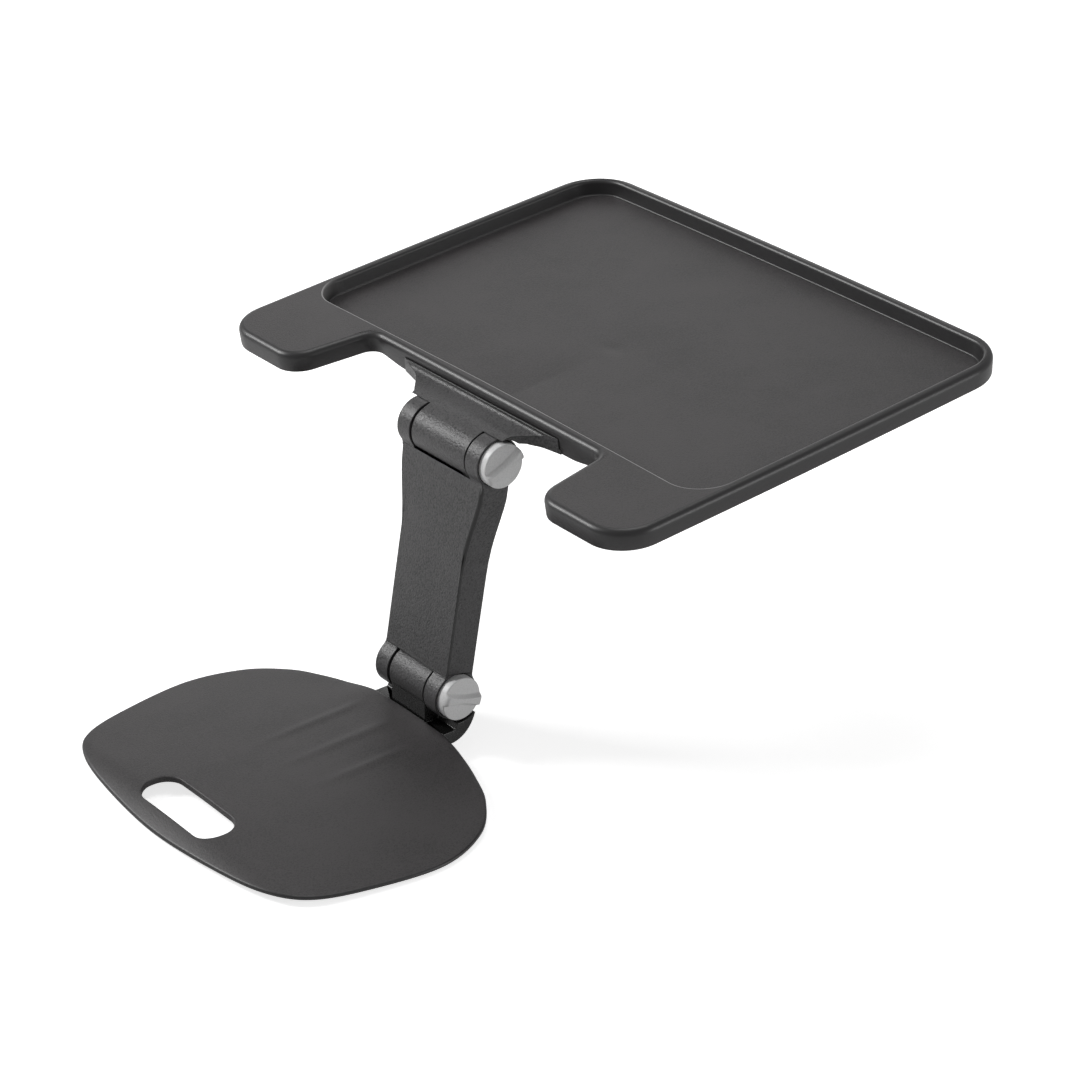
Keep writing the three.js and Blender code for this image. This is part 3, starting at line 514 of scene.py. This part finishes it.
def make_tray():
    """The tray: rows of two loops, the recess and the outline, from the middle of the floor over the rim
    and back under the floor.

    Each row is a loop offset in plan at a height. The rolls are quarter circles of offset and height. The two
    loops have as many points, so those of the recess's front run are spread to face the notch and the lobe.
    """
    outline = bowed(mirrored(rounded_path(
        [(0, NOTCH_BACK, 0), (NOTCH_HALF, NOTCH_BACK, NOTCH_CORNER),
         (NOTCH_MOUTH, TRAY_FRONT, LOBE_INNER_CORNER), (TRAY_HALF, TRAY_FRONT, LOBE_OUTER_CORNER),
         (TRAY_HALF, TRAY_FAR, FAR_CORNER), (0, TRAY_FAR, 0)],
        (44, 10, 10, 44, 36), (12, 16, 18, 20))), 0)
    inner, far = TRAY_HALF - RIM, TRAY_FAR - RIM
    front_run = inner - RECESS_CORNER
    counts = (44, 12, 10, 16, 10)
    stops = (0, 113, 128, 137, 157, front_run)
    across = np.interp(np.arange(sum(counts)), np.cumsum((0, *counts)), stops)
    recess = bowed(mirrored(rounded_path(
        [(0, RECESS_FRONT, 0), (inner, RECESS_FRONT, RECESS_CORNER), (inner, far, RECESS_CORNER), (0, far, 0)],
        (across / front_run, 44, 36), (18, 20))), FRONT_BOW)
    aside = smooth_step(TIGHT_ROLL_END, FULL_ROLL_START, recess[:, 1])
    roll = FRONT_EDGE_ROLL + (INNER_ROLL - FRONT_EDGE_ROLL) * aside
    middle = np.array([0, (RECESS_FRONT + far) / 2])
    quarter = np.linspace(0, np.pi / 2, 8)
    foot = WALL_DRAFT + FLOOR_FILLET
    rows, shine, highlights = [], [], []

    def row(loop, offset, height, gloss, highlit=0.0):
        rows.append(level_row(loop, offset, height))
        shine.append(np.full(len(loop), gloss))
        highlights.append(np.broadcast_to(highlit, len(loop)))

    def fan(loop, steps, height):
        for t in steps:
            plan = middle + (loop - middle) * t
            rows.append(np.c_[plan, height(*plan.T)])
            shine.append(np.zeros(len(loop)))
            highlights.append(np.zeros(len(loop)))

    # The floor, the recess's wall, the rim and the outer roll
    fan(recess - outward(recess) * (foot + FLAT_MARGIN), np.linspace(0, 1, FLOOR_ROWS), floor_height)
    for t in quarter:
        row(recess, FLOOR_FILLET * np.sin(t) - foot, FLOOR_TOP + FLOOR_FILLET * (1 - np.cos(t)), 1.0)
    # The recess's top roll, glossy; along its tight front edge it is painted pale as a highlight
    for t in quarter:
        row(recess, roll * (1 - np.cos(t)), TRAY_TOP - roll + roll * np.sin(t), 1.0, 1 - aside)
    row(recess, roll + ROLL_MARGIN, TRAY_TOP, 0.0)
    row(outline, -OUTER_ROLL - ROLL_MARGIN, TRAY_TOP, 0.0)
    for t in quarter:
        row(outline, OUTER_ROLL * (np.sin(t) - 1), TRAY_TOP - OUTER_ROLL * (1 - np.cos(t)), 1.0)
    # The skirt, lower beside the bracket's flares, with an eased hem
    x, y = outline.T
    past_flare = (x > RIGHT_FLARE - WALL_OVERLAP) | (x < WALL_OVERLAP - LEFT_FLARE)
    beside = past_flare & (y < NOTCH_BACK + 1)
    fade = 1 - smooth_step(LEFT_FLARE, NOTCH_WALL_END, np.abs(x))
    bottom = TRAY_BOTTOM - NOTCH_WALL_DROP * beside * fade
    skirt_inside = -SKIRT_DRAFT - SKIRT_WALL
    row(outline, -0.9 * SKIRT_DRAFT, bottom + 0.5, 0.5)
    row(outline, -SKIRT_DRAFT - 0.1, bottom + 0.12, 0.5)
    row(outline, -SKIRT_DRAFT - 0.4, bottom, 0.0)
    row(outline, skirt_inside + HEM_EASE, bottom, 0.0)
    row(outline, skirt_inside, bottom + HEM_EASE, 0.0)
    # The underside: up the skirt, along the rim, down the recess's wall and across the floor
    row(outline, skirt_inside, TRAY_TOP - SKIRT_WALL, 0.0)
    row(recess, SKIRT_WALL - 0.6, TRAY_TOP - SKIRT_WALL, 0.0)
    row(recess, UNDER_EASE, FLOOR_UNDER + 2 * UNDER_EASE, 0.0)
    row(recess, -UNDER_EASE, FLOOR_UNDER, 0.0)
    fan(recess - outward(recess) * UNDER_EASE, np.linspace(0.98, 0, UNDER_ROWS),
        lambda x, y: np.full(len(x), FLOOR_UNDER))
    sheets = [np.array(rows)]
    for place in BOSSES:
        for side in (-1, 1):
            sheets.append(tube(place, BOSS_END, FLOOR_UNDER + BOSS_SINK, side))
    plain = np.zeros(sum(sheet.shape[0] * sheet.shape[1] for sheet in sheets[1:]))
    gloss, highlit = (np.append(np.ravel(values), plain) for values in (shine, highlights))
    return shell("tray_moulding", [on_tray(sheet) for sheet in sheets], "tray", ["tray"], charcoal,
                 gloss, highlit)


def paddle_top(x, y):
    """Height of the paddle's upper face: crowned by a power of x, sloped along y, rolled down at the tail.

    In front a parabola in y curls it up to the hinge, and the curl fades to the sides by a cubic in x.
    """
    crown = PADDLE_CROWN_Z + PADDLE_SLOPE * y
    across = (crown - PADDLE_RIM_Z) * (np.abs(x) / PADDLE_HALF) ** CROWN_POWER
    tail = TAIL_DROP * (np.maximum(TAIL_START - y, 0) / TAIL_LENGTH) ** 2
    forward = np.maximum(y - FRONT_RISE_START, 0) / (PADDLE_FRONT - FRONT_RISE_START)
    aside = smooth_step(FRONT_RISE_HALF, FRONT_RISE_HALF + FRONT_RISE_FADE, np.abs(x))
    return crown - across - tail + FRONT_RISE * forward ** 2 * (1 - aside)


def read_through(x, y):
    """Height of the soft ridges where the ribs beneath show through: bell curves in x that fade along y."""
    bell = sum(np.exp(-((x - rib_x) / RIDGE_HALF) ** 2) for rib_x in RIBS)
    return RIDGE_HEIGHT * bell * smooth_step(*RIDGE_TAIL, y) * (1 - smooth_step(*RIDGE_HEAD, y))


def spline_loop(points, count):
    """A closed loop through points: cubics whose slope at a point is half the step between its neighbours."""
    points = np.array(points, float)
    place = np.arange(count) * len(points) / count
    i = place.astype(int)
    t = (place - i)[:, None]
    p0, p1, p2, p3 = (points[(i + k) % len(points)] for k in (-1, 0, 1, 2))
    square, cube = 2 * p0 - 5 * p1 + 4 * p2 - p3, 3 * p1 - p0 - 3 * p2 + p3
    return 0.5 * (2 * p1 + (p2 - p0) * t + square * t ** 2 + cube * t ** 3)


def make_paddle():
    """The paddle: rows blend from the handle slot's loop to the outline, over the edge and back underneath.

    Each outline point pairs with the slot point in the same direction from the slot's centre.
    """
    right = [(22, PADDLE_FRONT), (42, PADDLE_FRONT), (63, 56.4), (90.5, 48.5), (115.5, 37.5), (140.5, 14),
             (PADDLE_HALF - 1, -27), (146.7, -83), (133.8, -120.7), (111, -139), (66.6, -149.2)]
    points = [*right, (0, TAIL_END), *[(-x, y) for x, y in right[::-1]]]
    outline = spline_loop(points, OUTLINE_POINTS)[::-1]
    near, far = SLOT_CENTRE - SLOT_HALF_WIDTH, SLOT_CENTRE + SLOT_HALF_WIDTH
    slot = mirrored(rounded_path(
        [(0, near, 0), (SLOT_HALF_LENGTH, near, SLOT_CORNER), (SLOT_HALF_LENGTH, far, SLOT_CORNER),
         (0, far, 0)], (40, 10, 40), (40, 40)))
    centre = np.array([0, SLOT_CENTRE])
    heading = np.unwrap(np.arctan2(*(slot - centre).T[::-1]))
    wanted = np.arctan2(*(outline - centre).T[::-1])
    wanted = heading[0] + (wanted - heading[0]) % (2 * np.pi)
    heading, slot = np.append(heading, heading[0] + 2 * np.pi), np.concatenate([slot, slot[:1]])
    hole = np.stack([np.interp(wanted, heading, slot[:, k]) for k in (0, 1)], 1)
    rim = PADDLE_THICK / 2
    arc = np.linspace(-np.pi / 2, np.pi / 2, 9)
    quarter = np.linspace(0, np.pi / 2, 6)
    rows = []

    def row(plan, depth):
        ridge = read_through(*plan.T) if depth == 0 else 0
        rows.append(np.c_[plan, paddle_top(*plan.T) - depth + ridge])

    def round_slot(offset, depth):
        row(hole + outward(hole) * offset, depth)

    start = hole + outward(hole) * SLOT_ROLL
    span = outline - outward(outline) * rim - start
    for t in np.linspace(0, 1, FACE_ROWS):
        row(start + span * t, 0)
    for a in -arc[1:-1]:
        row(outline - outward(outline) * rim * (1 - np.cos(a)), rim * (1 - np.sin(a)))
    under = hole + outward(hole) * SLOT_RIM
    span = outline - outward(outline) * rim - under
    rim_end = len(rows)
    for t in np.linspace(1, 0, FACE_ROWS):
        row(under + span * t, PADDLE_THICK)
    round_slot(SLOT_RIM, SLOT_RIM_DEPTH - SLOT_EASE)
    round_slot(SLOT_RIM - SLOT_EASE, SLOT_RIM_DEPTH)
    round_slot(SLOT_EASE, SLOT_RIM_DEPTH)
    round_slot(0, SLOT_RIM_DEPTH - SLOT_EASE)
    for a in quarter[:-1]:
        round_slot(SLOT_ROLL * (1 - np.cos(a)), SLOT_ROLL * (1 - np.sin(a)))
    rows.append(rows[0])
    sheets = [np.array(rows)]
    gloss = np.zeros((len(rows), len(outline)))
    gloss[FACE_ROWS:rim_end] = 1
    sheets += [rib(x) for x in RIBS]
    for place in CRADLE_BOSSES:
        for side in (-1, 1):
            top = paddle_top(*map(float, place)) - CRADLE_BOSS_COVER
            sheets.append(tube(place, CRADLE_BOSS_END, top, side))
    plain = np.zeros(sum(sheet.shape[0] * sheet.shape[1] for sheet in sheets[1:]))
    return shell("seat_paddle_moulding", sheets, "seat", ["seat_paddle"], charcoal,
                 np.append(gloss, plain))


def rib(x):
    """A rib under the paddle: an eased bar section carried along y, from the seat plane up into the plate."""
    y = np.array([RIB_FRONT, RIB_FRONT, RIB_FRONT - 1, RIB_END + RIB_RUN_OUT, RIB_END, RIB_END])
    high = paddle_top(x, y) - PADDLE_THICK + RIB_SINK
    low = np.array([RIB_EASE, RIB_EASE, 0, 0, high[-1] - RIB_EASE, high[-1] - RIB_EASE])
    wide = np.array([0, 1, 1, 1, 1, 0]) * RIB_WIDTH / 2
    section = np.array([(-1, 1), (-1, 0.1), (-0.9, 0), (0.9, 0), (1, 0.1), (1, 1)])
    rows = np.empty((len(y), len(section), 3))
    rows[..., 0] = x + wide[:, None] * section[:, 0]
    rows[..., 1] = y[:, None]
    rows[..., 2] = low[:, None] + (high - low)[:, None] * section[:, 1]
    return rows


def make_knob(name, outer, axis, angle, body, node):
    """A clamp knob: a disc about X whose face rises into a waisted finger bar, with an eased edge.

    The face is a height over radius and turn. The bar's flanks are cubic steps about a half width that is a
    parabola along its length, and its ends round off as a quarter ellipse of the radius.
    """
    turn = np.linspace(0, 2 * np.pi, KNOB_POINTS, endpoint=False)
    eased = KNOB_RADIUS - KNOB_EDGE * (1 - np.sin(np.linspace(0.2, np.pi / 2, KNOB_EDGE_ROWS)))
    radius = np.append(np.linspace(0, KNOB_RADIUS - KNOB_EDGE, KNOB_ROWS), eased)[:, None]
    along, across = radius * np.cos(turn - angle), radius * np.sin(turn - angle)
    half = KNOB_BAR_WAIST / 2 + (KNOB_BAR_END - KNOB_BAR_WAIST) / 2 * (along / KNOB_RADIUS) ** 2
    bar = KNOB_BAR_HEIGHT * smooth_step(-KNOB_FLANK / 2, KNOB_FLANK / 2, half - np.abs(across))
    end = np.clip((radius - KNOB_RADIUS + KNOB_END_ROUND) / KNOB_END_ROUND, 0, 1)
    drop = np.clip((radius - KNOB_RADIUS + KNOB_EDGE) / KNOB_EDGE, 0, 1)
    height = KNOB_FACE + bar * np.sqrt(1 - end ** 2) - KNOB_EDGE * (1 - np.sqrt(1 - drop ** 2))
    face = np.stack([outer + height, radius * np.cos(turn), radius * np.sin(turn)], -1)
    ring = np.stack([np.cos(turn), np.sin(turn)], 1)
    back = np.array([np.c_[np.full(KNOB_POINTS, outer + KNOB_BACK), ring * r] for r in (KNOB_RADIUS, 0)])
    return shell(name, [np.concatenate([face, back]) + (0, *axis)], body, [node], grey)


make_tray()
make_paddle()
make_knob("upper_knob_moulding", UPPER_EAR_OUTER, UPPER_AXIS, UPPER_BAR_ANGLE, "upper_knob", "upper_knob")
make_knob("lower_knob_moulding", LOWER_EAR_OUTER, LOWER_AXIS, LOWER_BAR_ANGLE, "lower_knob", "lower_knob")
softened("arm_shell_moulding", "arm_shell", "arm", coarse_charcoal, 0.5, 2.4, arm_long_edge,
         arm_inside)
softened("tray_bracket_moulding", "tray_bracket", "tray", coarse_charcoal, 0.5,
         crisp=bracket_crisp)
# Painted shade: the cradle's neck and the barrel's lower front darken towards the bottom, through the polish
# attribute
softened("seat_cradle_moulding", "seat_cradle", "seat", coarse_charcoal, 0.6,
         shade_and_polish=lambda height: 1 - smooth_step(*NECK_SHADE_HEIGHTS, height))
softened("arm_rear_cover_moulding", "arm_rear_cover", "arm", charcoal, 0.4, clamped=True)

# Small fittings that keep their CAD solids
for node_name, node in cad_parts.items():
    if "washer" in node_name:
        finish = fibre
    elif node_name.endswith("_cap"):
        finish = charcoal
    else:
        finish = zinc
    if not node.hide_render:
        node.data.materials.clear()
        node.data.materials.append(finish)


# Studio

def background_rays(tree):
    """How far a ray sees the white background: fully from the camera or through glass, in part off a shine.

    The part keeps the plastic's rolled edges as dark as a studio with black flags leaves them.
    """
    rays = add(tree, "ShaderNodeLightPath")
    straight = add(tree, "ShaderNodeMath", {"operation": "MAXIMUM"}, i0=rays.outputs["Is Camera Ray"],
                   i1=rays.outputs["Is Transmission Ray"])
    return add(tree, "ShaderNodeMath", {"operation": "MULTIPLY_ADD", 1: GLOSSY_SHARE},
               i0=rays.outputs["Is Glossy Ray"], i2=straight.outputs[0]).outputs[0]


def backdrop_material():
    """White paper with a faint tooth: lit by the lamps so that it keeps the shadow, and lifted to white."""
    material, tree = new_material("white_paper_matte")
    where = add(tree, "ShaderNodeTexCoord").outputs["Object"]
    tooth = add(tree, "ShaderNodeTexNoise", {"Scale": 1 / (PAPER_SPACING * MM), "Detail": 3.0}, Vector=where)
    colour = add(tree, "ShaderNodeValToRGB", {"stops": ((0.3, "#ececec"), (0.7, "#f4f4f4"))},
                 Fac=tooth.outputs["Fac"])
    paper = add(tree, "ShaderNodeBsdfDiffuse", None, Color=colour.outputs[0])
    glow = add(tree, "ShaderNodeEmission", {"Color": linear("#ffffff"), "Strength": PAPER_GLOW})
    both = add(tree, "ShaderNodeAddShader", None, i0=paper.outputs[0], i1=glow.outputs[0])
    seen = add(tree, "ShaderNodeMixShader", None, i0=background_rays(tree), i1=paper.outputs[0],
               i2=both.outputs[0])
    add(tree, "ShaderNodeOutputMaterial", None, Surface=seen.outputs[0])
    return material


def make_floor(half, drop):
    """A flat square sheet, in metres, a little below the seat plane so that no face lies in it."""
    corners = [(-half, -half, -drop), (half, -half, -drop), (half, half, -drop), (-half, half, -drop)]
    mesh = bpy.data.meshes.new("floor")
    mesh.from_pydata(corners, [], [(0, 1, 2, 3)])
    mesh.materials.append(backdrop_material())
    floor = bpy.data.objects.new("floor", mesh)
    bpy.context.scene.collection.objects.link(floor)


def make_world(strength):
    """White surroundings: plain soft light on the object, and white where the background is seen."""
    world = bpy.data.worlds.new("studio")
    bpy.context.scene.world = world
    world.use_nodes = True
    tree = world.node_tree
    tree.nodes.clear()
    level = add(tree, "ShaderNodeMapRange", {"To Min": strength, "To Max": 1.0}, Value=background_rays(tree))
    sky = add(tree, "ShaderNodeBackground", {"Color": linear("#ffffff")}, Strength=level.outputs[0])
    add(tree, "ShaderNodeOutputWorld", None, Surface=sky.outputs[0])


def make_lamp(name, place, target, power, size):
    """A soft square lamp that faces a point, in metres and watts."""
    data = bpy.data.lights.new(name, "AREA")
    data.energy = power
    data.size = size
    lamp = bpy.data.objects.new(name, data)
    lamp.location = place
    lamp.rotation_euler = (Vector(target) - Vector(place)).to_track_quat("-Z", "Y").to_euler()
    bpy.context.scene.collection.objects.link(lamp)


def make_camera():
    """The photograph's camera: its place in metres, heading and focal length, solved from the tray's edges."""
    data = bpy.data.cameras.new("camera")
    data.sensor_width = 36.0
    data.lens = 111.03
    data.clip_end = 50.0
    camera = bpy.data.objects.new("camera", data)
    camera.location = (1.6298, -1.1305, 1.1949)
    heading = Vector((-0.6930, 0.5558, -0.4592))
    camera.rotation_euler = heading.to_track_quat("-Z", "Y").to_euler()
    bpy.context.scene.collection.objects.link(camera)
    bpy.context.scene.camera = camera


make_floor(3.0, 0.0005)
make_world(ROOM_LIGHT)
make_lamp("back_left", (-1.5, 1.25, 0.8), (0, 0.1, 0.2), 4.4, 1.3)
make_lamp("key", (-1.7, -1.15, 1.55), (0, 0.2, 0.2), 42, 0.9)
make_lamp("top", (-0.3, 0.6, 2.4), (0, 0.2, 0.2), 12, 1.0)
make_lamp("right", (1.9, 1.2, 0.5), (0, 0.1, 0.15), 9.8, 0.8)
make_camera()
bpy.context.scene.view_settings.view_transform = "Standard"

bpy.context.view_layer.update()
